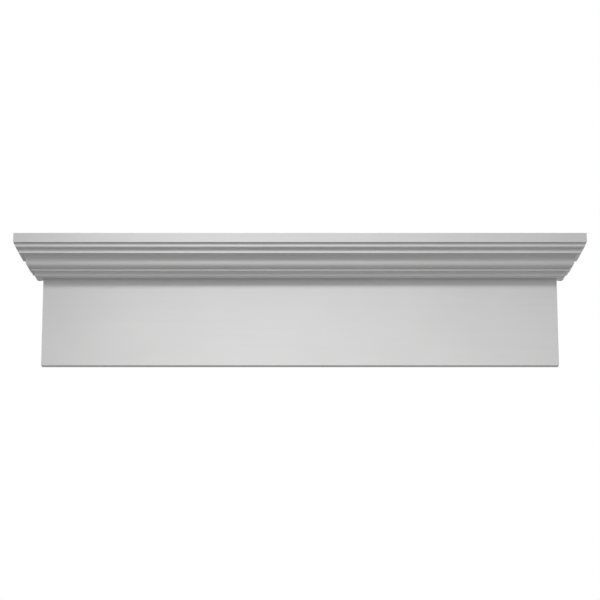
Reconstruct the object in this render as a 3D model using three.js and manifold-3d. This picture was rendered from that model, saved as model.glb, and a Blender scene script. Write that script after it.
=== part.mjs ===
// A door crosshead moulded in one piece: a plain frieze board under a crown moulding that stands out over
// it and returns to the wall at both ends. Millimetres, +Z up. The flat back lies on the wall in the plane
// Y = 0, the front looks along -Y, X runs along the length, and the origin is the middle of the back.

import * as THREE from 'three';
import { mergeVertices } from 'three/addons/utils/BufferGeometryUtils.js';
import Module from 'manifold-3d';

// The frieze board and the whole height
const HEIGHT = 305;
const FRIEZE_WIDTH = 1219;
const FRIEZE_THICKNESS = 19;
const ARRIS_RADIUS = 0.8;

// The crown's members from the top down. OUT is how far a member stands out from the frieze's face, and
// DEPTH is how far a level lies below the top.
const TOP_FILLET_OUT = 64;
const TOP_FILLET_DEPTH = 22.8;
const OGEE_OUT = 59.7;
const OGEE_START_DEPTH = 30.7;
const SMALL_FILLET_OUT = 52.2;
const SMALL_FILLET_START_DEPTH = 38.4;
const SMALL_FILLET_DEPTH = 45.9;
const BELLY_OUT = 37.8;
const BELLY_DEPTH = 59.5;
const THIN_FILLET_START_OUT = 25.3;
const THIN_FILLET_START_DEPTH = 76.4;
const THIN_FILLET_OUT = 27.5;
const THIN_FILLET_DEPTH = 81.3;
const LOWER_BELLY_OUT = 18.6;
const LOWER_BELLY_DEPTH = 89.8;
const SOFFIT_OUT = 11.2;
const SOFFIT_DEPTH = 95;
const SOFFIT_START_DEPTH = 93.2;

// Steps along each curved stretch (an ellipse's arc takes twice as many), and how far a cutting shape
// runs past what it cuts
const CURVE_STEPS = 6;
const CLEARANCE = 10;

const TOP = HEIGHT / 2;
const BOTTOM = -HEIGHT / 2;

// A place on the face: its x is the distance out from the frieze's face, and its y is the level.
const place = (out, depth) => new THREE.Vector2(out, TOP - depth);
const halfway = (from, to) => from.clone().lerp(to, 0.5);

// A double curve that rises through three places, flat at both ends and upright in the middle: full
// below and hollow above.
function drawCyma(path, from, middle, to) {
  path.absellipse(from.x, middle.y, middle.x - from.x, middle.y - from.y, -Math.PI / 2, 0, false);
  path.absellipse(to.x, middle.y, to.x - middle.x, to.y - middle.y, Math.PI, Math.PI / 2, true);
}

// The reverse curve, upright at both ends and flat in the middle: hollow below and full above.
function drawOgee(path, from, middle, to) {
  path.absellipse(middle.x, from.y, middle.x - from.x, middle.y - from.y, Math.PI, Math.PI / 2, true);
  path.absellipse(middle.x, to.y, to.x - middle.x, to.y - middle.y, -Math.PI / 2, 0, false);
}

// The face of the crosshead from the underside up to the top, as a row of places.
function faceProfile() {
  const soffitStart = place(0, SOFFIT_START_DEPTH);
  const soffit = place(SOFFIT_OUT, SOFFIT_DEPTH);
  const lowerBelly = place(LOWER_BELLY_OUT, LOWER_BELLY_DEPTH);
  const thinFilletBottom = place(THIN_FILLET_OUT, THIN_FILLET_DEPTH);
  const thinFilletTop = place(THIN_FILLET_START_OUT, THIN_FILLET_START_DEPTH);
  const belly = place(BELLY_OUT, BELLY_DEPTH);
  const smallFilletBottom = place(SMALL_FILLET_OUT, SMALL_FILLET_DEPTH);
  const smallFilletTop = place(SMALL_FILLET_OUT, SMALL_FILLET_START_DEPTH);
  const ogeeStart = place(OGEE_OUT, OGEE_START_DEPTH);
  const topFilletBottom = place(TOP_FILLET_OUT, TOP_FILLET_DEPTH);

  const face = new THREE.Path();
  face.moveTo(-ARRIS_RADIUS, BOTTOM);
  face.absarc(-ARRIS_RADIUS, BOTTOM + ARRIS_RADIUS, ARRIS_RADIUS, -Math.PI / 2, 0, false);
  face.lineTo(soffitStart.x, soffitStart.y);
  face.lineTo(soffit.x, soffit.y);
  drawCyma(face, soffit, lowerBelly, thinFilletBottom);
  face.lineTo(thinFilletTop.x, thinFilletTop.y);
  drawCyma(face, thinFilletTop, belly, smallFilletBottom);
  face.lineTo(smallFilletTop.x, smallFilletTop.y);
  drawOgee(face, smallFilletTop, halfway(smallFilletTop, ogeeStart), ogeeStart);
  face.lineTo(ogeeStart.x, topFilletBottom.y);
  face.lineTo(topFilletBottom.x, topFilletBottom.y);
  face.lineTo(topFilletBottom.x, TOP - ARRIS_RADIUS);
  face.absarc(topFilletBottom.x - ARRIS_RADIUS, TOP - ARRIS_RADIUS, ARRIS_RADIUS, 0, Math.PI / 2, false);
  return face.getPoints(CURVE_STEPS);
}

// The outline seen from the front, with the face's profile at both ends, pushed from the wall to beyond
// the crown's front.
function elevationPrism(profile) {
  const right = profile.map((point) => new THREE.Vector2(FRIEZE_WIDTH / 2 + point.x, point.y));
  const left = right.map((point) => new THREE.Vector2(-point.x, point.y)).reverse();
  const outline = new THREE.Shape([...right, ...left]);
  const depth = FRIEZE_THICKNESS + TOP_FILLET_OUT + CLEARANCE;
  const prism = new THREE.ExtrudeGeometry(outline, { depth, steps: 1, bevelEnabled: false });
  return prism.rotateX(Math.PI / 2);
}

// The cross-section from the wall to the face, run along the length past both ends.
function sectionPrism(profile) {
  const front = profile.map((point) => new THREE.Vector2(-FRIEZE_THICKNESS - point.x, point.y));
  const back = [new THREE.Vector2(CLEARANCE, TOP), new THREE.Vector2(CLEARANCE, BOTTOM)];
  const outline = new THREE.Shape([...front, ...back]);
  const length = FRIEZE_WIDTH + 2 * (TOP_FILLET_OUT + CLEARANCE);
  const prism = new THREE.ExtrudeGeometry(outline, { depth: length, steps: 1, bevelEnabled: false });
  const alongX = new THREE.Vector3(1, 0, 0);
  const alongY = new THREE.Vector3(0, 1, 0);
  const alongZ = new THREE.Vector3(0, 0, 1);
  prism.applyMatrix4(new THREE.Matrix4().makeBasis(alongY, alongZ, alongX));
  return prism.translate(-length / 2, 0, 0);
}

const wasm = await Module();
wasm.setup();

function solidFrom(geometry) {
  geometry.deleteAttribute('normal');
  geometry.deleteAttribute('uv');
  const merged = mergeVertices(geometry);
  const vertProperties = new Float32Array(merged.attributes.position.array);
  const triVerts = new Uint32Array(merged.index.array);
  return new wasm.Manifold(new wasm.Mesh({ numProp: 3, vertProperties, triVerts }));
}

function geometryFrom(solid) {
  const mesh = solid.getMesh();
  const geometry = new THREE.BufferGeometry();
  geometry.setAttribute('position', new THREE.BufferAttribute(mesh.vertProperties, mesh.numProp));
  geometry.setIndex(new THREE.BufferAttribute(mesh.triVerts, 1));
  geometry.computeVertexNormals();
  return geometry;
}

// What the elevation and the cross-section share is the crosshead: the two profiles meet in a mitre at
// each end of the crown, and the returns run straight back to the wall.
function makeCrosshead() {
  const profile = faceProfile();
  const solid = solidFrom(elevationPrism(profile)).intersect(solidFrom(sectionPrism(profile)));
  const primedWhite = new THREE.MeshStandardMaterial({ color: '#e2e2df', roughness: 0.55, metalness: 0 });
  const crosshead = new THREE.Mesh(geometryFrom(solid), primedWhite);
  crosshead.name = 'crosshead';
  return crosshead;
}

const part = new THREE.Group();
part.add(makeCrosshead());

export default part;
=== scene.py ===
"""A door crosshead, moulded in one piece from dense foam and primed white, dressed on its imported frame."""

import math

import bmesh
import bpy
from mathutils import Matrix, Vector


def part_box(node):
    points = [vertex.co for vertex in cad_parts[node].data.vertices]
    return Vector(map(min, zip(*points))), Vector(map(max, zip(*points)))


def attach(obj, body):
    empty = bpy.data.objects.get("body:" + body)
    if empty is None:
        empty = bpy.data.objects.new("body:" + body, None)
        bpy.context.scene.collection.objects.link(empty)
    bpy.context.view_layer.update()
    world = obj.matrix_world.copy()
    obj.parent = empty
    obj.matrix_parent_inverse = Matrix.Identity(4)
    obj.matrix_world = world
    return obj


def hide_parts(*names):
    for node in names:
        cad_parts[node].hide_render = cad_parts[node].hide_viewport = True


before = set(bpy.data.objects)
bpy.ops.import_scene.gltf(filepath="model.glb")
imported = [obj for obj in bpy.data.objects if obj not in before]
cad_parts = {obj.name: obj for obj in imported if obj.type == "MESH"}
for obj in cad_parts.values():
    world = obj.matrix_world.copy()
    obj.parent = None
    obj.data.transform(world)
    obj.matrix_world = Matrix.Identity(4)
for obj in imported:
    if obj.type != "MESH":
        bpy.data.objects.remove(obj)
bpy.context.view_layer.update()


# The crosshead: a plain frieze board below a stepped crown, moulded together from dense foam. The crown
# returns to the wall at both ends, so every member turns the corner in a mitre. The arrises are softened
# as they leave the mould, and the flat back is glued and nailed to the wall over a door.
low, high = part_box("crosshead")
TOP = high.z
BOTTOM = low.z

# How far each member stands out from the frieze's face, and how far below the top it starts or ends
TOP_FILLET_OUT = 0.064
TOP_FILLET_DEPTH = 0.0228
OGEE_OUT = 0.0597
OGEE_START_DEPTH = 0.0307
SMALL_FILLET_OUT = 0.0522
SMALL_FILLET_START_DEPTH = 0.0384
SMALL_FILLET_DEPTH = 0.0459
BELLY_OUT = 0.0378
BELLY_DEPTH = 0.0595
THIN_FILLET_START_OUT = 0.0253
THIN_FILLET_START_DEPTH = 0.0764
THIN_FILLET_OUT = 0.0275
THIN_FILLET_DEPTH = 0.0813
LOWER_BELLY_OUT = 0.0186
LOWER_BELLY_DEPTH = 0.0898
SOFFIT_OUT = 0.0112
SOFFIT_DEPTH = 0.095
SOFFIT_START_DEPTH = 0.0932
FRIEZE_HALF_WIDTH = high.x - TOP_FILLET_OUT
FRIEZE_THICKNESS = -low.y - TOP_FILLET_OUT

# The outer edges of the piece, the arrises of its members, the thin fillet's edges, and the mitres
OUTER_EDGE_RADIUS = 0.0008
ARRIS_RADIUS = 0.0006
THIN_EDGE_RADIUS = 0.0003
MITRE_RADIUS = 0.0008

# How far short of a fillet's edge a cyma stops, which leaves room to round that edge
SMALL_FILLET_ROOM = 0.0006
THIN_FILLET_ROOM = 0.00059

ROUNDING_STEPS = 4
CURVE_STEPS = 14
MITRE_STEPS = 3
SMOOTH_ANGLE = math.radians(35)
NEAR = 1e-5


def place(out, depth):
    """A place on the face: its distance out from the frieze's face, and its level."""
    return Vector((out, TOP - depth))


def arc(centre, reach, rise, start, turn, steps):
    """Places along an ellipse's arc, starting from an angle where 0 is out and 90 is up."""
    places = []
    for step in range(steps + 1):
        angle = math.radians(start + turn * step / steps)
        places.append(centre + Vector((reach * math.cos(angle), rise * math.sin(angle))))
    return places


def cyma(start, middle, end):
    """A double curve rising through three places, flat at both ends: full below and hollow above."""
    full_centre = Vector((start.x, middle.y))
    hollow_centre = Vector((end.x, middle.y))
    full = arc(full_centre, middle.x - start.x, middle.y - start.y, -90, 90, CURVE_STEPS)
    hollow = arc(hollow_centre, end.x - middle.x, end.y - middle.y, 180, -90, CURVE_STEPS)
    return full + hollow


def ogee(start, middle, end):
    """A double curve rising through three places, upright at both ends: hollow below and full above."""
    hollow_centre = Vector((middle.x, start.y))
    full_centre = Vector((middle.x, end.y))
    hollow = arc(hollow_centre, middle.x - start.x, middle.y - start.y, 180, -90, CURVE_STEPS)
    full = arc(full_centre, end.x - middle.x, end.y - middle.y, -90, 90, CURVE_STEPS)
    return hollow + full


def rounded(before, corner, after, radius):
    """A corner between two straight or nearly straight stretches, rounded to a radius."""
    inward = (before - corner).normalized()
    onward = (after - corner).normalized()
    half_angle = inward.angle(onward) / 2
    centre = corner + (inward + onward).normalized() * radius / math.sin(half_angle)
    first = corner + inward * radius / math.tan(half_angle) - centre
    last = corner + onward * radius / math.tan(half_angle) - centre
    start = math.degrees(math.atan2(first.y, first.x))
    turn = math.degrees(-first.angle_signed(last))
    return arc(centre, radius, radius, start, turn, ROUNDING_STEPS)


def face_profile():
    """The face from the underside up to the top, as a row of places."""
    wall_foot = Vector((-FRIEZE_THICKNESS, BOTTOM))
    frieze_foot = Vector((0, BOTTOM))
    soffit_start = place(0, SOFFIT_START_DEPTH)
    soffit = place(SOFFIT_OUT, SOFFIT_DEPTH)
    lower_belly = place(LOWER_BELLY_OUT, LOWER_BELLY_DEPTH)
    lower_cyma_end = place(THIN_FILLET_OUT - THIN_FILLET_ROOM, THIN_FILLET_DEPTH)
    thin_fillet_bottom = place(THIN_FILLET_OUT, THIN_FILLET_DEPTH)
    thin_fillet_top = place(THIN_FILLET_START_OUT, THIN_FILLET_START_DEPTH)
    upper_cyma_start = place(THIN_FILLET_START_OUT + THIN_FILLET_ROOM, THIN_FILLET_START_DEPTH)
    belly = place(BELLY_OUT, BELLY_DEPTH)
    upper_cyma_end = place(SMALL_FILLET_OUT - SMALL_FILLET_ROOM, SMALL_FILLET_DEPTH)
    small_fillet_bottom = place(SMALL_FILLET_OUT, SMALL_FILLET_DEPTH)
    small_fillet_top = place(SMALL_FILLET_OUT, SMALL_FILLET_START_DEPTH)
    ogee_start = place(OGEE_OUT, OGEE_START_DEPTH)
    ogee_end = place(OGEE_OUT, TOP_FILLET_DEPTH)
    top_fillet_bottom = place(TOP_FILLET_OUT, TOP_FILLET_DEPTH)
    top_edge = place(TOP_FILLET_OUT, 0)
    wall_top = Vector((-FRIEZE_THICKNESS, TOP))

    places = rounded(wall_foot, frieze_foot, soffit_start, OUTER_EDGE_RADIUS)
    places += rounded(frieze_foot, soffit_start, soffit, ARRIS_RADIUS)
    places += cyma(soffit, lower_belly, lower_cyma_end)
    places += rounded(lower_cyma_end, thin_fillet_bottom, thin_fillet_top, THIN_EDGE_RADIUS)
    places += rounded(thin_fillet_bottom, thin_fillet_top, upper_cyma_start, THIN_EDGE_RADIUS)
    places += cyma(upper_cyma_start, belly, upper_cyma_end)
    places += rounded(upper_cyma_end, small_fillet_bottom, small_fillet_top, ARRIS_RADIUS)
    places += ogee(small_fillet_top, small_fillet_top.lerp(ogee_start, 0.5), ogee_start)
    places += rounded(ogee_start, ogee_end, top_fillet_bottom, ARRIS_RADIUS)
    places += rounded(ogee_end, top_fillet_bottom, top_edge, ARRIS_RADIUS)
    places += rounded(top_fillet_bottom, top_edge, wall_top, OUTER_EDGE_RADIUS)

    # Where one stretch ends and the next begins at the same place, it is kept once.
    kept = places[:1]
    for next_place in places[1:]:
        if (next_place - kept[-1]).length > NEAR:
            kept.append(next_place)
    return kept


def half_length(out):
    """How far the piece runs to each side of its middle, where its face stands out this far."""
    return FRIEZE_HALF_WIDTH + out


def reach_from_wall(out):
    """How far the front is from the wall, where the face stands out this far."""
    return FRIEZE_THICKNESS + out


# The underside is drawn as a plane, then raised from station to station and stretched about the middle
# of the wall line, so the front and both returns follow the profile together.
profile = face_profile()
first_out, first_level = profile[0]
bpy.ops.object.select_all(action="DESELECT")
bpy.ops.mesh.primitive_plane_add(size=1, location=(0, 0, 0))
crosshead = bpy.context.object
crosshead.name = "crosshead_moulding"
bpy.ops.object.mode_set(mode="EDIT")
bpy.ops.mesh.select_all(action="SELECT")
underside_size = (2 * half_length(first_out), reach_from_wall(first_out), 1)
bpy.ops.transform.resize(value=underside_size, center_override=(0, 0, 0))
bpy.ops.transform.translate(value=(0, -reach_from_wall(first_out) / 2, first_level))
for (out, level), (next_out, next_level) in zip(profile, profile[1:]):
    stretch = (
        half_length(next_out) / half_length(out),
        reach_from_wall(next_out) / reach_from_wall(out),
        1,
    )
    bpy.ops.mesh.extrude_region_move(TRANSFORM_OT_translate={"value": (0, 0, next_level - level)})
    bpy.ops.transform.resize(value=stretch, center_override=(0, 0, next_level))


def select_where(kind, test):
    """Selects the faces or edges of the mesh being edited for which the test is true."""
    bpy.ops.mesh.select_mode(type=kind)
    bpy.ops.mesh.select_all(action="DESELECT")
    mesh = bmesh.from_edit_mesh(bpy.context.object.data)
    for item in mesh.faces if kind == "FACE" else mesh.edges:
        item.select_set(test(item))
    bmesh.update_edit_mesh(bpy.context.object.data)


def on_the_wall(face):
    """Whether a face lies in the plane of the wall."""
    return all(abs(vertex.co.y) < NEAR for vertex in face.verts)


def is_mitre(edge):
    """Whether an edge is a step of a mitre, which runs in or out as much as it runs sideways."""
    first, second = (vertex.co for vertex in edge.verts)
    off_the_wall = max(first.y, second.y) < -NEAR
    along = second - first
    return off_the_wall and abs(abs(along.x) - abs(along.y)) < NEAR


select_where("FACE", on_the_wall)
bpy.ops.mesh.dissolve_faces()
select_where("EDGE", is_mitre)
bpy.ops.mesh.bevel(offset=MITRE_RADIUS, segments=MITRE_STEPS, affect="EDGES", clamp_overlap=False)

# The long faces are cut into shorter lengths and the board into strips, which keeps them even for shading.
LENGTH_CUTS = 25
BOARD_CUTS = 4
for cut in range(1, LENGTH_CUTS):
    x = FRIEZE_HALF_WIDTH * (2 * cut / LENGTH_CUTS - 1)
    bpy.ops.mesh.select_all(action="SELECT")
    bpy.ops.mesh.bisect(plane_co=(x, 0, 0), plane_no=(1, 0, 0))
for cut in range(1, BOARD_CUTS):
    level = BOTTOM + (TOP - SOFFIT_DEPTH - BOTTOM) * cut / BOARD_CUTS
    bpy.ops.mesh.select_all(action="SELECT")
    bpy.ops.mesh.bisect(plane_co=(0, 0, level), plane_no=(0, 0, 1))
bpy.ops.mesh.select_all(action="SELECT")
bpy.ops.mesh.normals_make_consistent(inside=False)
bpy.ops.object.mode_set(mode="OBJECT")
bpy.ops.object.shade_smooth_by_angle(angle=SMOOTH_ANGLE)
bpy.ops.object.modifier_add(type="WEIGHTED_NORMAL")
crosshead.modifiers[-1].keep_sharp = True
bpy.ops.object.modifier_apply(modifier=crosshead.modifiers[-1].name)

# Sprayed paint is never quite even: it lies in soft blotches and in streaks where the gun passed along the
# length, and it dries with a fine orange peel.
STREAK_STRETCH = (0.06, 1, 1)
STREAK_SHARE = 0.35
BLOTCH_DETAIL = 4
STREAK_DETAIL = 2
PEEL_DETAIL = 2
coat = bpy.data.node_groups.new("sprayed_coat", "ShaderNodeTree")
coat.interface.new_socket("Place", in_out="INPUT", socket_type="NodeSocketVector")
for scale_name in ("Blotch Scale", "Streak Scale", "Peel Scale"):
    coat.interface.new_socket(scale_name, in_out="INPUT", socket_type="NodeSocketFloat")
for result_name in ("Tone", "Peel"):
    coat.interface.new_socket(result_name, in_out="OUTPUT", socket_type="NodeSocketFloat")
coat_in = coat.nodes.new("NodeGroupInput")
coat_out = coat.nodes.new("NodeGroupOutput")


def coat_noise(where, scale_name, detail):
    """A noise in the coat's group, as coarse or fine as the named input says."""
    noise = coat.nodes.new("ShaderNodeTexNoise")
    noise.inputs["Detail"].default_value = detail
    coat.links.new(where, noise.inputs["Vector"])
    coat.links.new(coat_in.outputs[scale_name], noise.inputs["Scale"])
    return noise.outputs["Fac"]


gun_pass = coat.nodes.new("ShaderNodeMapping")
gun_pass.inputs["Scale"].default_value = STREAK_STRETCH
coat.links.new(coat_in.outputs["Place"], gun_pass.inputs["Vector"])
blotches = coat_noise(coat_in.outputs["Place"], "Blotch Scale", BLOTCH_DETAIL)
streaks = coat_noise(gun_pass.outputs["Vector"], "Streak Scale", STREAK_DETAIL)
orange_peel = coat_noise(coat_in.outputs["Place"], "Peel Scale", PEEL_DETAIL)
tone = coat.nodes.new("ShaderNodeMix")
tone.inputs["Factor"].default_value = STREAK_SHARE
coat.links.new(blotches, tone.inputs["A"])
coat.links.new(streaks, tone.inputs["B"])
coat.links.new(tone.outputs["Result"], coat_out.inputs["Tone"])
coat.links.new(orange_peel, coat_out.inputs["Peel"])

# The tones between which the coat goes from thin to full, and its gloss and relief
THIN_TONE = 0.35
FULL_TONE = 0.65
THIN_ROUGHNESS = 0.62
FULL_ROUGHNESS = 0.5
PEEL_STRENGTH = 0.12
PEEL_HEIGHT = 0.0003


def sprayed_finish(name, thin_colour, full_colour, blotch_scale, streak_scale, peel_scale):
    """A material whose colour and gloss follow the sprayed coat."""
    material = bpy.data.materials.new(name)
    material.use_nodes = True
    nodes = material.node_tree.nodes
    links = material.node_tree.links
    shader = nodes["Principled BSDF"]
    where = nodes.new("ShaderNodeTexCoord")
    where.name = "where"
    sprayed = nodes.new("ShaderNodeGroup")
    sprayed.name = "sprayed"
    sprayed.node_tree = coat
    sprayed.inputs["Blotch Scale"].default_value = blotch_scale
    sprayed.inputs["Streak Scale"].default_value = streak_scale
    sprayed.inputs["Peel Scale"].default_value = peel_scale
    links.new(where.outputs["Object"], sprayed.inputs["Place"])
    colour = nodes.new("ShaderNodeValToRGB")
    colour.name = "coat_colour"
    colour.color_ramp.elements[0].position = THIN_TONE
    colour.color_ramp.elements[0].color = (*thin_colour, 1)
    colour.color_ramp.elements[1].position = FULL_TONE
    colour.color_ramp.elements[1].color = (*full_colour, 1)
    links.new(sprayed.outputs["Tone"], colour.inputs["Fac"])
    links.new(colour.outputs["Color"], shader.inputs["Base Color"])
    roughness = nodes.new("ShaderNodeMapRange")
    roughness.inputs["From Min"].default_value = THIN_TONE
    roughness.inputs["From Max"].default_value = FULL_TONE
    roughness.inputs["To Min"].default_value = THIN_ROUGHNESS
    roughness.inputs["To Max"].default_value = FULL_ROUGHNESS
    links.new(sprayed.outputs["Tone"], roughness.inputs["Value"])
    links.new(roughness.outputs["Result"], shader.inputs["Roughness"])
    bump = nodes.new("ShaderNodeBump")
    bump.inputs["Strength"].default_value = PEEL_STRENGTH
    bump.inputs["Distance"].default_value = PEEL_HEIGHT
    links.new(sprayed.outputs["Peel"], bump.inputs["Height"])
    links.new(bump.outputs["Normal"], shader.inputs["Normal"])
    return material


PRIMER_THIN = (0.785, 0.785, 0.783)
PRIMER_FULL = (0.815, 0.815, 0.813)
primer = sprayed_finish(
    "primed_white", PRIMER_THIN, PRIMER_FULL, blotch_scale=6, streak_scale=60, peel_scale=700
)
crosshead.data.materials.append(primer)

# The back is left as it comes from the mould: bare cream foam, with a fringe of primer that blew round the
# edges. Its fine pores are painted darker, which is painted shade in their hollows.
FOAM = (0.80, 0.76, 0.65)
# The pores' colour is painted shade: darker where the pore hollows would lie in shade.
PAINTED_PORE_SHADE = (0.58, 0.54, 0.44)
PORE_SCALE = 260
PORE_BOTTOM = 0.05
PORE_RIM = 0.28
FRINGE = 0.03
bare_back = sprayed_finish(
    "bare_foam_back", PRIMER_THIN, PRIMER_FULL, blotch_scale=14, streak_scale=60, peel_scale=700
)
back_tree = bare_back.node_tree
back_place = back_tree.nodes["where"].outputs["Object"]
pores = back_tree.nodes.new("ShaderNodeTexVoronoi")
pores.inputs["Scale"].default_value = PORE_SCALE
back_tree.links.new(back_place, pores.inputs["Vector"])
# The foam's own cream colour, with painted shade at the pores.
foam_colour_and_pore_shade = back_tree.nodes.new("ShaderNodeValToRGB")
foam_colour_and_pore_shade.color_ramp.elements[0].position = PORE_BOTTOM
foam_colour_and_pore_shade.color_ramp.elements[0].color = (*PAINTED_PORE_SHADE, 1)
foam_colour_and_pore_shade.color_ramp.elements[1].position = PORE_RIM
foam_colour_and_pore_shade.color_ramp.elements[1].color = (*FOAM, 1)
back_tree.links.new(pores.outputs["Distance"], foam_colour_and_pore_shade.inputs["Fac"])


def off_the_middle(tree, value):
    """How far a value in a node tree is from zero, to either side."""
    distance = tree.nodes.new("ShaderNodeMath")
    distance.operation = "ABSOLUTE"
    tree.links.new(value, distance.inputs[0])
    return distance.outputs["Value"]


def smooth_step(tree, value, start, end, start_result=0, end_result=1):
    """A smooth change in a node tree from one result to another, while the value goes from start to end."""
    step = tree.nodes.new("ShaderNodeMapRange")
    step.interpolation_type = "SMOOTHSTEP"
    step.inputs["From Min"].default_value = start
    step.inputs["From Max"].default_value = end
    step.inputs["To Min"].default_value = start_result
    step.inputs["To Max"].default_value = end_result
    tree.links.new(value, step.inputs["Value"])
    return step.outputs["Result"]


back_parts = back_tree.nodes.new("ShaderNodeSeparateXYZ")
back_tree.links.new(back_place, back_parts.inputs["Vector"])
from_middle = off_the_middle(back_tree, back_parts.outputs["X"])
from_mid_height = off_the_middle(back_tree, back_parts.outputs["Z"])
fringe = back_tree.nodes.new("ShaderNodeMath")
fringe.operation = "MAXIMUM"
end_fringe = smooth_step(back_tree, from_middle, FRIEZE_HALF_WIDTH - FRINGE, FRIEZE_HALF_WIDTH)
edge_fringe = smooth_step(back_tree, from_mid_height, TOP - FRINGE, TOP)
back_tree.links.new(end_fringe, fringe.inputs[0])
back_tree.links.new(edge_fringe, fringe.inputs[1])
blown = back_tree.nodes.new("ShaderNodeMath")
blown.operation = "MULTIPLY_ADD"
blown.use_clamp = True
back_tree.links.new(fringe.outputs["Value"], blown.inputs[0])
back_tree.links.new(back_tree.nodes["sprayed"].outputs["Tone"], blown.inputs[1])
back_tree.links.new(fringe.outputs["Value"], blown.inputs[2])
back_colour = back_tree.nodes.new("ShaderNodeMix")
back_colour.data_type = "RGBA"
back_tree.links.new(blown.outputs["Value"], back_colour.inputs["Factor"])
back_tree.links.new(foam_colour_and_pore_shade.outputs["Color"], back_colour.inputs["A"])
back_tree.links.new(back_tree.nodes["coat_colour"].outputs["Color"], back_colour.inputs["B"])
back_shader = back_tree.nodes["Principled BSDF"]
back_tree.links.new(back_colour.outputs["Result"], back_shader.inputs["Base Color"])
crosshead.data.materials.append(bare_back)
bpy.ops.object.mode_set(mode="EDIT")
select_where("FACE", on_the_wall)
crosshead.active_material_index = 1
bpy.ops.object.material_slot_assign()
bpy.ops.object.mode_set(mode="OBJECT")
crosshead.active_material_index = 0

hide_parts("crosshead")
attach(crosshead, "root")


# The floor: the studio's smooth floor, painted a pale grey, at the level of a doorstep far below the
# crosshead. It takes the lamp's light and sends none back up.
FLOOR_LEVEL = -2.2
FLOOR_SIZE = 600
FLOOR_THIN = (0.87, 0.87, 0.87)
FLOOR_FULL = (0.91, 0.91, 0.91)
bpy.ops.object.select_all(action="DESELECT")
bpy.ops.mesh.primitive_plane_add(size=FLOOR_SIZE, location=(0, 0, FLOOR_LEVEL))
floor = bpy.context.object
floor.name = "studio_floor"
floor_paint = sprayed_finish(
    "pale_floor", FLOOR_THIN, FLOOR_FULL, blotch_scale=0.8, streak_scale=4, peel_scale=90
)
floor.data.materials.append(floor_paint)
floor.visible_diffuse = False
floor.visible_glossy = False
floor.visible_shadow = False


# The light: a soft lamp high on the left that shines across the front and past it, in a white studio that
# is brightest above the camera and dim below it and at the sides, with a white screen behind on the right.
# A second, weak lamp far to the left reaches in under the crown's left end.
KEY_PLACE = Vector((-1.24, -1.27, 1.41))
KEY_AIM = Vector((2.6, -0.03, -4))
KEY_POWER = 276
KEY_CONE = math.radians(69)
SIDE_PLACE = Vector((-2.1, -1.1, 1.08))
SIDE_AIM = Vector((-0.2, -0.03, -0.1))
SIDE_POWER = 19
SIDE_CONE = math.radians(40)
LAMP_RADIUS = 0.24


def soft_lamp(name, stand, aim, power, cone):
    """A round soft lamp that fades from the middle of its cone to the edge."""
    bpy.ops.object.light_add(type="SPOT", location=stand)
    lamp = bpy.context.object
    lamp.name = name
    lamp.rotation_mode = "QUATERNION"
    lamp.rotation_quaternion = (aim - stand).to_track_quat("-Z", "Y")
    lamp.data.energy = power
    lamp.data.shadow_soft_size = LAMP_RADIUS
    lamp.data.spot_size = cone
    lamp.data.spot_blend = 1


soft_lamp("key_lamp", KEY_PLACE, KEY_AIM, KEY_POWER, KEY_CONE)
soft_lamp("side_lamp", SIDE_PLACE, SIDE_AIM, SIDE_POWER, SIDE_CONE)

# How bright the studio is on each side. Each change is spread between two values of the direction's part
# that it follows: its height, its distance to the side, or how far it points at the screen.
STUDIO_ABOVE = 0.88
STUDIO_BELOW = 0.335
STUDIO_SIDES = 0.06
STUDIO_SCREEN = 0.6
SCREEN_SIDE = Vector((0.55, 0.83, 0)).normalized()
HORIZON_SPREAD = 0.25
SIDES_START = 0.35
SIDES_FULL = 0.75
SCREEN_START = 0.3
SCREEN_FULL = 0.7
world = bpy.data.worlds.new("white_studio")
bpy.context.scene.world = world
world.use_nodes = True
studio_tree = world.node_tree
direction = studio_tree.nodes.new("ShaderNodeTexCoord").outputs["Generated"]
direction_parts = studio_tree.nodes.new("ShaderNodeSeparateXYZ")
studio_tree.links.new(direction, direction_parts.inputs["Vector"])
facing_screen = studio_tree.nodes.new("ShaderNodeVectorMath")
facing_screen.operation = "DOT_PRODUCT"
facing_screen.inputs[1].default_value = SCREEN_SIDE
studio_tree.links.new(direction, facing_screen.inputs[0])


def turned_toward(share, brightness, other_brightness):
    """The studio's brightness, changed to another one by a share from 0 to 1."""
    mix = studio_tree.nodes.new("ShaderNodeMix")
    mix.inputs["B"].default_value = other_brightness
    studio_tree.links.new(share, mix.inputs["Factor"])
    studio_tree.links.new(brightness, mix.inputs["A"])
    return mix.outputs["Result"]


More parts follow.
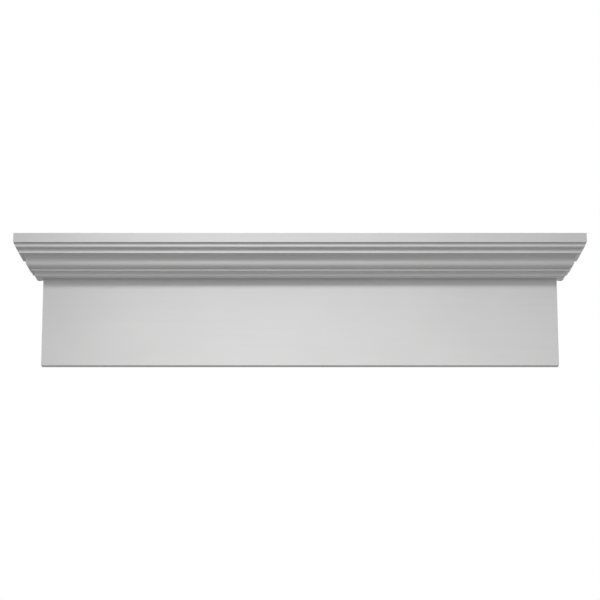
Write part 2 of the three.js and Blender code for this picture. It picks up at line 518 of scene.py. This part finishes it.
up_and_down = smooth_step(
    studio_tree, direction_parts.outputs["Z"], -HORIZON_SPREAD, HORIZON_SPREAD, STUDIO_BELOW, STUDIO_ABOVE
)
sideways = off_the_middle(studio_tree, direction_parts.outputs["X"])
sides_share = smooth_step(studio_tree, sideways, SIDES_START, SIDES_FULL)
screen_share = smooth_step(studio_tree, facing_screen.outputs["Value"], SCREEN_START, SCREEN_FULL)
with_sides = turned_toward(sides_share, up_and_down, STUDIO_SIDES)
with_screen = turned_toward(screen_share, with_sides, STUDIO_SCREEN)

# The camera itself sees plain white all round.
WHITE = (1, 1, 1, 1)
backdrop = studio_tree.nodes["Background"]
backdrop.inputs["Color"].default_value = WHITE
backdrop.inputs["Strength"].default_value = 1
studio = studio_tree.nodes.new("ShaderNodeBackground")
studio.inputs["Color"].default_value = WHITE
studio_tree.links.new(with_screen, studio.inputs["Strength"])
light_path = studio_tree.nodes.new("ShaderNodeLightPath")
choice = studio_tree.nodes.new("ShaderNodeMixShader")
studio_tree.links.new(light_path.outputs["Is Camera Ray"], choice.inputs["Fac"])
studio_tree.links.new(studio.outputs["Background"], choice.inputs[1])
studio_tree.links.new(backdrop.outputs["Background"], choice.inputs[2])
studio_tree.links.new(choice.outputs["Shader"], studio_tree.nodes["World Output"].inputs["Surface"])
bpy.context.scene.view_settings.view_transform = "Standard"


# The view: the crosshead seen from a standing photographer's height, below its middle and square on, with
# a raised lens that keeps its upright edges nearly upright.
CAMERA_DISTANCE = 4.0
CAMERA_BELOW_TOP = 1.187
CAMERA_TILT = math.radians(10.64)
CAMERA_LENS = 104.4
CAMERA_SENSOR = 36
LENS_RISE = 0.2
LEVEL = math.radians(90)
camera_place = (0, -FRIEZE_THICKNESS - CAMERA_DISTANCE, TOP - CAMERA_BELOW_TOP)
bpy.ops.object.camera_add(location=camera_place, rotation=(LEVEL + CAMERA_TILT, 0, 0))
camera = bpy.context.object
camera.data.lens = CAMERA_LENS
camera.data.sensor_width = CAMERA_SENSOR
camera.data.shift_y = LENS_RISE
bpy.context.scene.camera = camera
